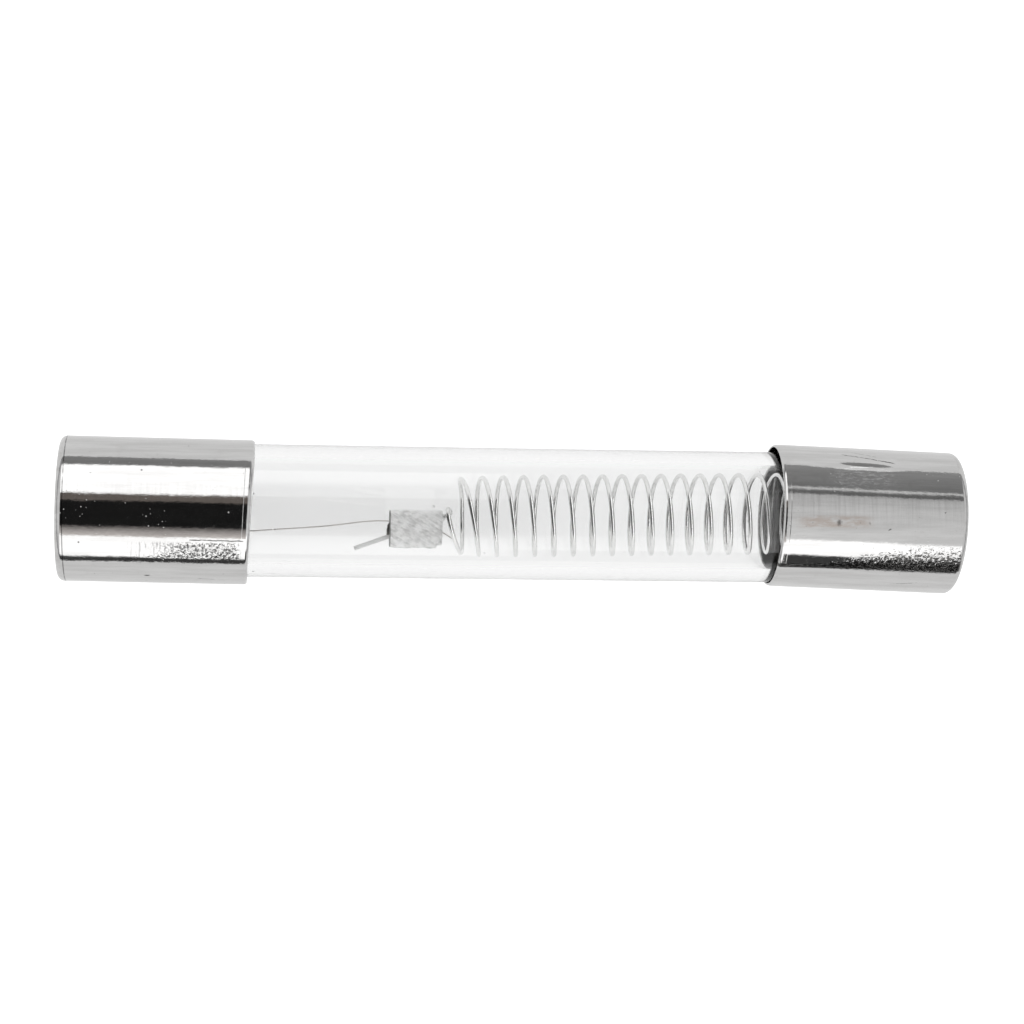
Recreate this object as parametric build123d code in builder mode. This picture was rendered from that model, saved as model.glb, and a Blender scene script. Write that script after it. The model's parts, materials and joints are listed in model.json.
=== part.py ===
from build123d import *
from math import cos, exp, pi, radians, sin
import os

# Glass cartridge fuse for a high-voltage supply: a glass tube with two plated end caps.
# Inside, a fine fuse wire is held taut by a stretched tension spring. When the wire melts,
# the spring pulls the splice sleeve away and stretches the arc until it goes out.
#
# Frame: origin at the fuse's centre on the glass tube's axis, +X from the wire side to the
# spring side, +Z up, with the fuse lying on its side. Millimetres and degrees.

os.makedirs("parts", exist_ok=True)

# ------------------------------------------------------------------ driving dimensions
overall_length = 40.0        # end face to end face, the 6 x 40 size class

cap_od = 6.40
cap_wall = 0.14              # drawn sheet thickness
cap_length = 8.35            # closed end to mouth
cap_corner_r = 0.30          # outside corner at the closed end
cap_inner_corner_r = 0.16
lip_length = 0.32            # the outside tapers inwards over this length at the mouth
lip_drop = 0.05

tube_od = 5.88
tube_bore = 4.70
tube_edge_r = 0.12           # fire-polished edges
wire_side_engagement = 7.60  # how far the tube goes into each cap
spring_side_engagement = 6.00

wire_cap_tilt = -0.60        # each cap is cemented on a little askew, turned about Z
spring_cap_tilt = -1.90

cement_gap = 0.005           # play between the cement and the faces that it holds
cement_length = 3.20
wire_cement_start = 2.2      # from the cap's closed end
spring_cement_start = 3.6

solder_gap = 0.005           # play between the solder and what it wets
splice_groove_gap = 0.003    # play round the wires in the splice solder

fuse_wire_d = 0.06
spring_wire_d = 0.20
tail_edge_r = spring_wire_d * 0.35

sleeve_length = 2.35
sleeve_width = 1.71
sleeve_height = 0.62
sleeve_wall = 0.12
sleeve_side_flat = 0.01      # half the flat left between the rounded corners
sleeve_x = -5.53             # its wire-side end
sleeve_y = -0.727            # the splice sits to the -Y side of the tube's axis

splice_end_inset = 0.02      # the solder stops this far inside each end of the sleeve
splice_bead_r = 0.17
splice_bead_y = -0.21
tail_groove_length = 5.0

# ------------------------------------------------------------------ derived places
end_x = overall_length / 2
mouth_x = end_x - cap_length
cap_r = cap_od / 2
cap_inner_r = cap_r - cap_wall
tube_r = tube_od / 2
bore_r = tube_bore / 2
tube_left = -mouth_x - wire_side_engagement
tube_right = mouth_x + spring_side_engagement
sleeve_end_x = sleeve_x + sleeve_length


# Each cap has its own plane: local X runs along the cap's axis from the closed end to
# the mouth, and local Y is the radius.
def tilted_direction(tilt):
    return Vector(cos(radians(tilt)), sin(radians(tilt)), 0)


wire_cap_plane = Plane(
    origin=(-end_x, 0, 0), x_dir=tilted_direction(wire_cap_tilt), z_dir=(0, 0, 1)
)

# The spring-side cap turns about the middle of its grip on the tube.
spring_dir = tilted_direction(spring_cap_tilt)
spring_pivot = Vector(mouth_x + spring_side_engagement / 2, 0, 0)
spring_cap_plane = Plane(
    origin=spring_pivot + spring_dir * (end_x - spring_pivot.X),
    x_dir=spring_dir * -1,
    z_dir=(0, 0, 1),
)


def cap_axis(plane):
    return Axis(plane.origin, plane.x_dir)


# ------------------------------------------------------------------ glass tube
with BuildPart() as glass_tube:
    with BuildSketch(Plane.YZ.offset(tube_left)):
        Circle(tube_r)
        Circle(bore_r, mode=Mode.SUBTRACT)
    extrude(amount=tube_right - tube_left)
    fillet(glass_tube.edges().filter_by(GeomType.CIRCLE), tube_edge_r)


# ------------------------------------------------------------------ end caps
def end_cap(plane):
    with BuildPart() as cap:
        with BuildSketch(plane) as profile:
            with BuildLine():
                Polyline(
                    (0, 0),
                    (0, cap_r),
                    (cap_length - lip_length, cap_r),
                    (cap_length, cap_r - lip_drop),
                    (cap_length, cap_inner_r),
                    (cap_wall, cap_inner_r),
                    (cap_wall, 0),
                    close=True,
                )
            make_face()
            for corner, radius in (
                ((0, cap_r), cap_corner_r),
                ((cap_wall, cap_inner_r), cap_inner_corner_r),
            ):
                fillet(profile.vertices().sort_by_distance(corner)[0], radius)
        revolve(axis=cap_axis(plane))
    return cap.part


# ------------------------------------------------------------------ cement rings
def cement_ring(plane, start, glass_cut_x):
    """Fill the gap between cap and glass, deep enough to stay out of sight.

    glass_cut_x is the -X end of the cylinder that clears the glass.
    """
    outer_r = cap_inner_r - cement_gap
    with BuildPart() as ring:
        with BuildSketch(plane):
            with BuildLine():
                Polyline(
                    (start, 0),
                    (start, outer_r),
                    (start + cement_length, outer_r),
                    (start + cement_length, 0),
                    close=True,
                )
            make_face()
        revolve(axis=cap_axis(plane))
        with BuildSketch(Plane.YZ.offset(glass_cut_x)):
            Circle(tube_r + cement_gap)
        extrude(amount=cap_length, mode=Mode.SUBTRACT)
    return ring.part


# ------------------------------------------------------------------ fuse wire
# One fine wire, split at the point where it melts: the fixed length stays in the wire-side
# cap, and the free length leaves with the splice sleeve.
wire_z = 0.135               # in the sleeve the fuse wire lies on top of the spring's tail
fixed_start = Vector(-19.35, -1.535, 0.0)
melt_point = Vector(-10.60, -0.822, 0.080)
melt_dir = Vector(1.0, 0.0845, 0.0105).normalized()
melt_plane = Plane(origin=melt_point, z_dir=melt_dir)

free_wire_points = [
    melt_point,
    Vector(-7.94, -0.597, 0.108),
    Vector(sleeve_x, -0.392, wire_z),         # sleeve entry
    Vector(sleeve_x + 1.15, -0.560, wire_z),  # inside the sleeve
    Vector(sleeve_end_x, -0.860, wire_z),     # sleeve exit
    Vector(-2.73, -1.140, 0.20),              # free end
]
free_wire_tangents = [melt_dir, Vector(0.80, -0.58, 0.12)]

with BuildPart() as fuse_wire_fixed:
    with BuildLine() as fixed_path:
        Spline(
            fixed_start,
            Vector(-15.0, -1.185, 0.036),
            melt_point,
            tangents=[Vector(1.0, 0.080, 0.008), melt_dir],
            tangent_scalars=[1, 1],
        )
    with BuildSketch(Plane(origin=fixed_path.line @ 0, z_dir=fixed_path.line % 0)):
        Circle(fuse_wire_d / 2)
    sweep()

with BuildPart() as fuse_wire_free:
    with BuildLine():
        Spline(*free_wire_points, tangents=free_wire_tangents, tangent_scalars=[1, 1])
    with BuildSketch(melt_plane):
        Circle(fuse_wire_d / 2)
    sweep()

# ------------------------------------------------------------------ spring tail
# The straight end of the spring's wire, soldered into the sleeve and cut off beyond it.
tail_cut_end = Vector(-7.141, -1.656, 0.0)
tail_joint = Vector(-3.000, -0.132, 0.0)
tail_dir = (tail_joint - tail_cut_end).normalized()
tail_plane = Plane(origin=tail_cut_end, z_dir=tail_dir)

with BuildPart() as spring_tail:
    with BuildSketch(tail_plane):
        Circle(spring_wire_d / 2)
    extrude(amount=(tail_joint - tail_cut_end).length)
    fillet(
        spring_tail.edges().filter_by(GeomType.CIRCLE).sort_by(Axis.X)[0],
        tail_edge_r,
    )

# ------------------------------------------------------------------ tension spring
# Whole turns of the coil are counted at its +Y side. From there it runs through +Z, -Y
# and -Z, so that the spring is right-handed about +X. Its axis slants a little, and its
# first coils lean over towards the hook.
coil_mean_d = 3.50
coil_pitch = 0.8776
coil_first_turn = 1.0        # the hook joins the coil here
coil_turns = 24.40           # turn number at which the wire ends in the solder
coil_first_x = -3.0376       # where turn 0 of the even helix would stand
coil_drift = 0.0227          # the coil's axis moves this much in +Y per mm of X
coil_axis_y0 = -0.097        # and crosses X = 0 at this Y
coil_axis_y_max = 0.18       # inside the cap it runs level
coil_lean = 0.030            # how far a coil's +Y side leans towards -X
coil_lean_first = 0.270      # extra lean of the first coils, which fades
coil_tightening = 0.12       # smaller radius of the first coils, which fades
points_per_turn = 8


def coil_point(n):
    angle = 2 * pi * n
    mean_x = coil_first_x + coil_pitch * n
    axis_y = min(coil_drift * mean_x + coil_axis_y0, coil_axis_y_max)
    radius = coil_mean_d / 2 - coil_tightening * exp(0.5 - n)
    lean = coil_lean + coil_lean_first * exp((0.5 - n) / 2)
    return Vector(
        mean_x - lean * cos(angle), axis_y + radius * cos(angle), radius * sin(angle)
    )


def coil_heading(n):
    return (coil_point(n + 0.001) - coil_point(n - 0.001)).normalized()


def coil_points(first, last):
    steps = round((last - first) * points_per_turn)
    return [coil_point(first + (last - first) * i / steps) for i in range(steps + 1)]


hook_heading = Vector(0.62, 0.25, 0.74).normalized()
hook_points = [               # X, Y, Z from beyond the tail's end to just before turn 1
    Vector(-2.865, -0.020, 0.42),
    Vector(-2.925, 0.110, 0.95),
    Vector(-3.040, 0.120, 1.46),
    Vector(-2.985, -0.300, 1.665),
    Vector(-2.770, -0.985, 1.400),
    Vector(-2.500, -1.560, 0.820),
    Vector(-2.317, -1.765, 0.000),
    Vector(-2.190, -1.400, -1.150),
    Vector(-2.160, -0.150, -1.670),
    Vector(-2.260, 1.050, -1.180),
]

with BuildPart() as tension_spring:
    with BuildLine():
        Spline(
            tail_joint,
            *hook_points,
            *coil_points(coil_first_turn, coil_turns),
            tangents=[hook_heading, coil_heading(coil_turns)],
            tangent_scalars=[1, 1],
        )
    with BuildSketch(Plane(origin=tail_joint, z_dir=hook_heading)):
        Circle(spring_wire_d / 2)
    sweep()


# ------------------------------------------------------------------ splice sleeve
def sleeve_section(inset):
    """Width, height and corner radius of the sleeve's outline, moved inwards by inset."""
    return (
        sleeve_width - 2 * inset,
        sleeve_height - 2 * inset,
        sleeve_height / 2 - inset - sleeve_side_flat,
    )


with BuildPart() as splice_sleeve:
    with BuildSketch(Plane.YZ.offset(sleeve_x)):
        with Locations((sleeve_y, 0)):
            RectangleRounded(*sleeve_section(0))
            RectangleRounded(*sleeve_section(sleeve_wall), mode=Mode.SUBTRACT)
    extrude(amount=sleeve_length)

# ------------------------------------------------------------------ splice solder
with BuildPart() as splice_solder:
    with BuildSketch(Plane.YZ.offset(sleeve_x + splice_end_inset)):
        with Locations((sleeve_y, 0)):
            RectangleRounded(*sleeve_section(sleeve_wall + solder_gap))
    extrude(amount=sleeve_length - 2 * splice_end_inset)
    # the bead where the spring's wire leaves the sleeve
    with Locations((sleeve_end_x - splice_end_inset, splice_bead_y, 0)):
        Sphere(splice_bead_r)
    # grooves that hold the two wires
    with BuildSketch(tail_plane):
        Circle(spring_wire_d / 2 + splice_groove_gap)
    extrude(amount=tail_groove_length, mode=Mode.SUBTRACT)
    with BuildLine():
        Spline(*free_wire_points, tangents=free_wire_tangents, tangent_scalars=[1, 1])
    with BuildSketch(melt_plane):
        Circle(fuse_wire_d / 2 + splice_groove_gap)
    sweep(mode=Mode.SUBTRACT)

# ------------------------------------------------------------------ cap solder
# A pool of solder in each closed end wets the cap. One holds the end of the fuse wire, and
# the coil's last turn is cast into the other.
pool_corner = 0.20           # bevel that clears the cap's inside corner
pool_dome_r = 1.30           # radius of the measured point on the domed face
wire_groove_length = 1.5


def solder_pool(plane, rim_x, shoulder_x, dome_x, centre_x, shoulder_inset, groove=None):
    """Revolve a domed pool; the x values are its depths from the cap's closed end.

    shoulder_inset is the shoulder's distance inside the bore, and groove is the start
    and direction of a fuse wire groove.
    """
    outer_r = cap_inner_r - solder_gap
    shoulder = (shoulder_x, bore_r - shoulder_inset)
    with BuildPart() as pool:
        with BuildSketch(plane):
            with BuildLine():
                Polyline(
                    (centre_x, 0),
                    (cap_wall + solder_gap, 0),
                    (cap_wall + solder_gap, cap_inner_r - pool_corner),
                    (cap_wall + pool_corner, outer_r),
                    (rim_x, outer_r),
                    (rim_x, bore_r - shoulder_inset),
                    shoulder,
                )
                Spline(
                    shoulder,
                    (dome_x, pool_dome_r),
                    (centre_x, 0),
                    tangents=[(0.5, -1), (0, -1)],
                    tangent_scalars=[1, 1],
                )
            make_face()
        revolve(axis=cap_axis(plane))
        if groove:
            start, direction = groove
            with BuildLine() as groove_path:
                Line(start, start + direction * wire_groove_length)
            with BuildSketch(
                Plane(origin=groove_path.line @ 0, z_dir=groove_path.line % 0)
            ):
                Circle(fuse_wire_d / 2 + solder_gap)
            sweep(mode=Mode.SUBTRACT)
    return pool.part


# ------------------------------------------------------------------ write each piece
pieces = {
    "glass_tube": glass_tube.part,
    "wire_side_cap": end_cap(wire_cap_plane),
    "spring_side_cap": end_cap(spring_cap_plane),
    "wire_side_cement": cement_ring(
        wire_cap_plane, start=wire_cement_start, glass_cut_x=-end_x
    ),
    "spring_side_cement": cement_ring(
        spring_cap_plane, start=spring_cement_start, glass_cut_x=mouth_x
    ),
    "wire_side_solder": solder_pool(
        wire_cap_plane,
        rim_x=0.70,
        shoulder_x=0.86,
        dome_x=1.02,
        centre_x=1.12,
        shoulder_inset=0.05,
        groove=(fixed_start, fixed_path.line % 0),
    ),
    "spring_side_solder": solder_pool(
        spring_cap_plane,
        rim_x=2.10,
        shoulder_x=2.30,
        dome_x=2.50,
        centre_x=2.62,
        shoulder_inset=0.20,
    ),
    "fuse_wire_fixed": fuse_wire_fixed.part,
    "fuse_wire_free": fuse_wire_free.part,
    "splice_sleeve": splice_sleeve.part,
    "splice_solder": splice_solder.part,
    "spring_tail": spring_tail.part,
    "tension_spring": tension_spring.part,
}
for name, piece in pieces.items():
    piece.label = name
    export_step(piece, f"parts/{name}.step")
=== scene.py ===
"""A glass cartridge fuse lying along X on a pale floor, with +Z up.

The wire-side cap is at -X and the spring-side cap at +X. Between them, inside the glass tube,
run the fuse wire, a crimped splice sleeve, the straight tail of the spring and the spring.
Sizes are in millimetres and angles in radians unless a comment says otherwise.
"""
import json
import math

import bmesh
import bpy
import numpy as np
from mathutils import Matrix, Vector


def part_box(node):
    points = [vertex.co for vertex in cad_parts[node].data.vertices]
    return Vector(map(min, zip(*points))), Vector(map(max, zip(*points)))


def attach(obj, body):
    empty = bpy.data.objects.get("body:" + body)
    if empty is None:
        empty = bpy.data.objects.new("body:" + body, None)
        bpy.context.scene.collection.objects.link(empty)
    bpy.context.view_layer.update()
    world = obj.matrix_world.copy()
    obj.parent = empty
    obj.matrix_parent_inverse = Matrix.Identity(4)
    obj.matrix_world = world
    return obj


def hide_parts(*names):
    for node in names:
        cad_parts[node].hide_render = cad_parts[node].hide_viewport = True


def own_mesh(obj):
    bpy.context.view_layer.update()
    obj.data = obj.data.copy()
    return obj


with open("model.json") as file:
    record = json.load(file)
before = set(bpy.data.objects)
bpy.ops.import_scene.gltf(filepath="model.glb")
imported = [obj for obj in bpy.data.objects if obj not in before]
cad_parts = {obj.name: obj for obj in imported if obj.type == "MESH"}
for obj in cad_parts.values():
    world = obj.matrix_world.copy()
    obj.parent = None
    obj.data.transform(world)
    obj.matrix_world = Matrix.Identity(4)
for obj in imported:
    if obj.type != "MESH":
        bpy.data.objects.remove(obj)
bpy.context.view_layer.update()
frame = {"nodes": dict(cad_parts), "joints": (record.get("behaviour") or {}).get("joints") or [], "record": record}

MM = 0.001
UP = np.array([0.0, 0.0, 1.0])
QUARTER = math.pi / 2
mounts = {mount["name"]: mount for mount in frame["record"]["mounts"]}


# ------------------------------------------------------------------ mesh helpers
def new_object(name, points, faces, smooth=True, edges=()):
    mesh = bpy.data.meshes.new(name)
    mesh.from_pydata([tuple(v) for v in np.asarray(points, float) * MM], list(edges), faces)
    mesh.validate()
    mesh.update()
    if smooth:
        mesh.polygons.foreach_set("use_smooth", [True] * len(mesh.polygons))
    obj = bpy.data.objects.new(name, mesh)
    bpy.context.scene.collection.objects.link(obj)
    return obj


def solid(name, points, faces):
    """A closed smooth mesh with its normals outwards."""
    obj = new_object(name, points, faces)
    bm = bmesh.new()
    bm.from_mesh(obj.data)
    bmesh.ops.recalc_face_normals(bm, faces=bm.faces)
    if bm.calc_volume(signed=True) < 0:
        bmesh.ops.reverse_faces(bm, faces=bm.faces)
    bm.to_mesh(obj.data)
    bm.free()
    obj.data.update()
    return obj


def ring_faces(rows, columns, wrap_rows=False):
    faces = []
    for i in range(rows if wrap_rows else rows - 1):
        here, after = i * columns, ((i + 1) % rows) * columns
        for j in range(columns):
            k = (j + 1) % columns
            faces.append((here + j, here + k, after + k, after + j))
    return faces


def capped_faces(rows, columns):
    """Rings closed by a fan at each end; the two fan centres follow the ring points."""
    faces = ring_faces(rows, columns)
    first = rows * columns
    last_ring = first - columns
    for j in range(columns):
        k = (j + 1) % columns
        faces.append((first, k, j))
        faces.append((last_ring + j, last_ring + k, first + 1))
    return faces


def full_turn(columns):
    return np.linspace(0, 2 * math.pi, columns, endpoint=False)


def arc(x, y, radius, start, stop, count):
    return [(x + radius * math.cos(a), y + radius * math.sin(a))
            for a in np.linspace(start, stop, count)]


def revolve(name, profile, origin, axis, side, columns, move, poles=True):
    """A closed body of revolution.

    profile holds (distance along, radius) pairs; with poles, its first and last radii are 0.
    Angle 0 is towards side. move(along, radius, turn) returns the shaped along and radius.
    """
    origin, axis, side = (np.array(v, float) for v in (origin, axis, side))
    third = np.cross(axis, side)
    body = np.array(profile[1:-1] if poles else profile)
    turn = np.ones((len(body), 1)) * full_turn(columns)
    along, radius = move(body[:, :1] * np.ones(columns), body[:, 1:] * np.ones(columns), turn)
    points = (
        origin
        + along[..., None] * axis
        + (radius * np.cos(turn))[..., None] * side
        + (radius * np.sin(turn))[..., None] * third
    ).reshape(-1, 3)
    if not poles:
        return solid(name, points, ring_faces(len(body), columns, wrap_rows=True))
    tips = [origin + profile[i][0] * axis for i in (0, -1)]
    return solid(name, np.vstack([points, *tips]), capped_faces(len(body), columns))


def waves(seed, along, turn, amount, along_rate, most_lobes):
    """A sum of random ripples running along and round a body of revolution."""
    count = 14
    random = np.random.default_rng(seed)
    total = np.zeros_like(along)
    for _ in range(count):
        lobes = random.integers(1, most_lobes + 1)
        rate = random.uniform(-along_rate, along_rate)
        phase = random.uniform(0, 6.28)
        total += np.cos(lobes * turn + rate * along + phase) / math.sqrt(count)
    return amount * total


def spline(points, start, end, per_mm):
    """A C2 cubic through the points with the given headings at its ends."""
    knots = np.asarray(points, float)
    gaps = np.linalg.norm(np.diff(knots, axis=0), axis=1)
    count = len(knots)
    system, target = np.zeros((count, count)), np.zeros((count, 3))
    for row, heading in ((0, start), (-1, end)):
        system[row, row] = 1
        target[row] = np.array(heading, float) / np.linalg.norm(heading)
    for i in range(1, count - 1):
        before, after = gaps[i - 1], gaps[i]
        system[i, i - 1:i + 2] = after, 2 * (before + after), before
        target[i] = 3 * (after * (knots[i] - knots[i - 1]) / before
                         + before * (knots[i + 1] - knots[i]) / after)
    slopes = np.linalg.solve(system, target)
    path = []
    for i, gap in enumerate(gaps):
        steps = max(2, int(math.ceil(gap * per_mm)))
        for q in np.arange(steps) / steps:
            path.append((2 * q**3 - 3 * q**2 + 1) * knots[i]
                        + (q**3 - 2 * q**2 + q) * gap * slopes[i]
                        + (-2 * q**3 + 3 * q**2) * knots[i + 1]
                        + (q**3 - q**2) * gap * slopes[i + 1])
    path.append(knots[-1])
    return np.array(path)


def wire_mesh(name, path, radius, columns, round_start=False):
    """A round wire along a path that doesn't start upright, closed at both ends."""
    headings = np.gradient(path, axis=0)
    headings /= np.linalg.norm(headings, axis=1)[:, None]
    across = np.cross(headings[0], UP)
    across /= np.linalg.norm(across)
    stations = []      # centre, two directions across the wire, radius
    for centre, ahead in zip(path, headings):
        across = across - ahead * np.dot(across, ahead)
        across /= np.linalg.norm(across)
        stations.append((centre, across, np.cross(ahead, across), radius))
    tip = path[0]
    if round_start:
        centre, across, other, _ = stations[0]
        reach = -headings[0] * radius
        dome = [(centre + reach * math.sin(a), across, other, radius * math.cos(a))
                for a in np.linspace(0, QUARTER, 7)[1:-1]]
        stations = dome[::-1] + stations
        tip = path[0] + reach
    turn = full_turn(columns)[:, None]
    rings = [centre + size * (np.cos(turn) * across + np.sin(turn) * other)
             for centre, across, other, size in stations]
    return solid(name, np.vstack([*rings, tip, path[-1]]), capped_faces(len(stations), columns))


# ------------------------------------------------------------------ node helpers
def rgba(colour):
    """A colour is given as an (r, g, b) tuple, or as one number for a grey."""
    return (*colour, 1) if isinstance(colour, tuple) else (colour, colour, colour, 1)


class Signal:
    """A node's output. Arithmetic on it adds math nodes, with the operands in written order."""
    def __init__(self, nodes, socket):
        self.nodes, self.socket = nodes, socket

    def __add__(self, other):
        return self.nodes.math("ADD", self, other)

    def __sub__(self, other):
        return self.nodes.math("SUBTRACT", self, other)

    def __rsub__(self, other):
        return self.nodes.math("SUBTRACT", other, self)

    def __mul__(self, other):
        return self.nodes.math("MULTIPLY", self, other)

    def __pow__(self, other):
        return self.nodes.math("POWER", self, other)

    def __abs__(self):
        return self.nodes.math("ABSOLUTE", self)

    def times_plus(self, factor, addend):
        return self.nodes.math("MULTIPLY_ADD", self, factor, addend)

    def step(self, low, high):
        """A smooth rise from 0 at low to 1 at high."""
        inputs = {"Value": self, "From Min": low, "From Max": high, "To Min": 0.0, "To Max": 1.0}
        return self.nodes.signal("ShaderNodeMapRange", inputs, "Result",
                                 interpolation_type="SMOOTHSTEP")

    def window(self, low, high, soft):
        """1 between low and high, with both edges softened by soft on either side."""
        return self.step(low - soft, low + soft) * (1.0 - self.step(high - soft, high + soft))

    def stretch(self, x, y, z):
        return self.nodes.signal("ShaderNodeMapping", {"Vector": self, "Scale": (x, y, z)})

    def noise(self, scale, detail, rough, distortion=0.0):
        inputs = {"Vector": self, "Scale": scale, "Detail": detail, "Roughness": rough,
                  "Distortion": distortion}
        return self.nodes.signal("ShaderNodeTexNoise", inputs, "Fac")

    def dots(self, scale, core, rim):
        """Scattered dots: 1 within core of each centre, fading to 0 at rim."""
        distance = self.nodes.signal("ShaderNodeTexVoronoi", {"Vector": self, "Scale": scale},
                                     "Distance", feature="F1")
        return 1.0 - distance.step(core, rim)


class Nodes:
    def __init__(self, tree):
        self.tree = tree
        tree.nodes.clear()

    def fill(self, node, inputs):
        """Links or sets inputs, which are keyed by name or index."""
        for key, value in inputs.items():
            socket = node.inputs[key]
            if isinstance(value, Signal):
                self.tree.links.new(value.socket, socket)
            else:
                socket.default_value = rgba(value) if socket.type == "RGBA" else value

    def add(self, kind, inputs={}, **settings):
        node = self.tree.nodes.new(kind)
        for key, value in settings.items():
            setattr(node, key, value)
        self.fill(node, inputs)
        return node

    def output(self, node, key=0):
        return Signal(self, node.outputs[key])

    def signal(self, kind, inputs={}, output=0, **settings):
        return self.output(self.add(kind, inputs, **settings), output)

    def math(self, operation, a, b=0.0, c=0.0, clamp=False):
        return self.signal("ShaderNodeMath", {0: a, 1: b, 2: c},
                           operation=operation, use_clamp=clamp)

    def split(self, vector):
        node = self.add("ShaderNodeSeparateXYZ", {0: vector})
        return [self.output(node, i) for i in range(3)]

    def combine(self, x, y=0.0, z=0.0):
        return self.signal("ShaderNodeCombineXYZ", {0: x, 1: y, 2: z})

    def mix(self, factor, a, b):
        # inputs 6 and 7 and output 2 are the node's colour sockets
        return self.signal("ShaderNodeMix", {"Factor": factor, 6: a, 7: b}, 2, data_type="RGBA")

    def bump(self, height, strength, distance, normal=None):
        inputs = {"Height": height, "Strength": strength, "Distance": distance * MM}
        if normal is not None:
            inputs["Normal"] = normal
        return self.signal("ShaderNodeBump", inputs)

    def ramp(self, position, stops):
        """stops: (position from 0 to 1, colour), in order."""
        node = self.add("ShaderNodeValToRGB", {0: position})
        elements = node.color_ramp.elements
        while len(elements) < len(stops):
            elements.new(0.5)
        for element, (at, colour) in zip(elements, stops):
            element.position = at
            element.color = rgba(colour)
        return self.output(node)


def material(name):
    """Returns the material, its nodes, its shader and the place on the object in millimetres."""
    mat = bpy.data.materials.new(name)
    mat.use_nodes = True
    nodes = Nodes(mat.node_tree)
    out = nodes.add("ShaderNodeOutputMaterial")
    shader = nodes.add("ShaderNodeBsdfPrincipled")
    nodes.fill(out, {"Surface": nodes.output(shader)})
    place = nodes.signal("ShaderNodeTexCoord", output="Object").stretch(1 / MM, 1 / MM, 1 / MM)
    return mat, nodes, shader, place


def metal(name, light, dark, rough, rough_range, scale, strength, relief, metallic=1.0):
    """A mottled metal; scale sets the size of its noise and relief the height of its bumps."""
    mat, nodes, shader, place = material(name)
    place = place.stretch(1, 1, 1)
    tone = place.noise(scale, detail=4.0, rough=0.6)
    gloss = place.noise(scale * 2.3, detail=4.0, rough=0.6)
    grain = place.noise(scale * 4.0, detail=3.0, rough=0.6)
    nodes.fill(shader, {
        "Base Color": nodes.mix(tone, dark, light),
        "Metallic": metallic,
        "Roughness": gloss.times_plus(rough_range, rough),
        "Normal": nodes.bump(grain, strength, relief),
    })
    return mat


def set_material(obj, mat):
    if not obj.material_slots:
        obj.data.materials.append(mat)
    for material_slot in obj.material_slots:
        material_slot.material = mat


def install(obj, body, node):
    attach(obj, body)
    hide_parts(node)


# ------------------------------------------------------------------ plated caps
# The caps lean a little about Z. Their axes and ends come from the record's mounts.
CAP_RADIUS = mounts["wire_side_contact"]["dims"]["r_mm"]
CAP_LENGTH = 8.35
CAP_WALL = 0.14
CAP_CORNER = 0.30
CAP_INNER_CORNER = 0.16
CAP_DISH = 0.018       # how far the middle of the closed end sinks
LIP_LENGTH = 0.32
LIP_DROP = 0.05
MOUTH_ROUND = 0.03     # length of the rounded rim
MOUTH_STEP = 0.012     # from the bore out to the rounded rim
TRIM_START = 5.5       # where a mouth's lean begins, from the closed end
CAP_COLUMNS = 400


def cap_profile(taper):
    """(distance from the closed end, radius), up the outside and back down the bore.

    taper is the share of the lip's drop that is spread evenly along it.
    """
    flat = CAP_RADIUS - CAP_CORNER
    bore = CAP_RADIUS - CAP_WALL
    bore_flat = bore - CAP_INNER_CORNER
    lip = CAP_LENGTH - LIP_LENGTH
    profile = [(CAP_DISH * (1 - (r / flat) ** 2), r) for r in np.linspace(0, flat, 22)]
    profile += arc(CAP_CORNER, flat, CAP_CORNER, math.pi, QUARTER, 14)[1:]
    profile += [(s, CAP_RADIUS) for s in np.linspace(CAP_CORNER, lip, 190)[1:]]
    # the line where the lip was rolled
    profile += [(lip + 0.02, CAP_RADIUS - 0.003), (lip + 0.04, CAP_RADIUS - 0.001)]
    for q in np.linspace(0.12, 1, 12)[1:]:
        drop = LIP_DROP * (taper * q + (1 - taper) * q ** 9)
        profile.append((lip + q * (LIP_LENGTH - MOUTH_ROUND), CAP_RADIUS - drop))
    top, foot = CAP_RADIUS - LIP_DROP, bore + MOUTH_STEP
    for a in np.linspace(0, math.pi, 9)[1:]:
        profile.append((CAP_LENGTH - MOUTH_ROUND + MOUTH_ROUND * math.sin(a),
                        (top + foot) / 2 + (top - foot) / 2 * math.cos(a)))
    inner_corner = CAP_WALL + CAP_INNER_CORNER
    profile += [(s, bore) for s in np.linspace(CAP_LENGTH - 0.25, inner_corner, 26)]
    profile += arc(inner_corner, bore_flat, CAP_INNER_CORNER, QUARTER, math.pi, 7)[1:]
    profile += [(CAP_WALL + CAP_DISH * (1 - (r / bore) ** 2), r)
                for r in np.linspace(bore_flat, 0, 8)[1:]]
    return profile


def cap_surface(seed, dents, trim=0.0):
    """Slight waves and dents in the outer wall. trim leans the plane of the mouth."""
    def move(along, radius, turn):
        outer = (radius > CAP_RADIUS - LIP_DROP - 0.02).astype(float)
        outer *= np.clip((along - 0.2) / 0.5, 0, 1)
        shape = (waves(seed, along, turn, amount=0.0022, along_rate=1.3, most_lobes=7)
                 + waves(seed + 1, along, turn, amount=0.0007, along_rate=5.0, most_lobes=16))
        for at, at_turn, half_length, half_width, depth, slant in dents:
            ahead = along - at
            aside = np.angle(np.exp(1j * (turn - at_turn))) * CAP_RADIUS
            u = ahead * math.cos(slant) + aside * math.sin(slant)
            v = -ahead * math.sin(slant) + aside * math.cos(slant)
            shape = shape - depth * np.exp(-((u / half_length) ** 2 + (v / half_width) ** 2))
        lean = np.clip((along - TRIM_START) / (CAP_LENGTH - TRIM_START), 0, 1)
        return along + trim * np.sin(turn) * lean, radius + outer * shape
    return move


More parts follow.
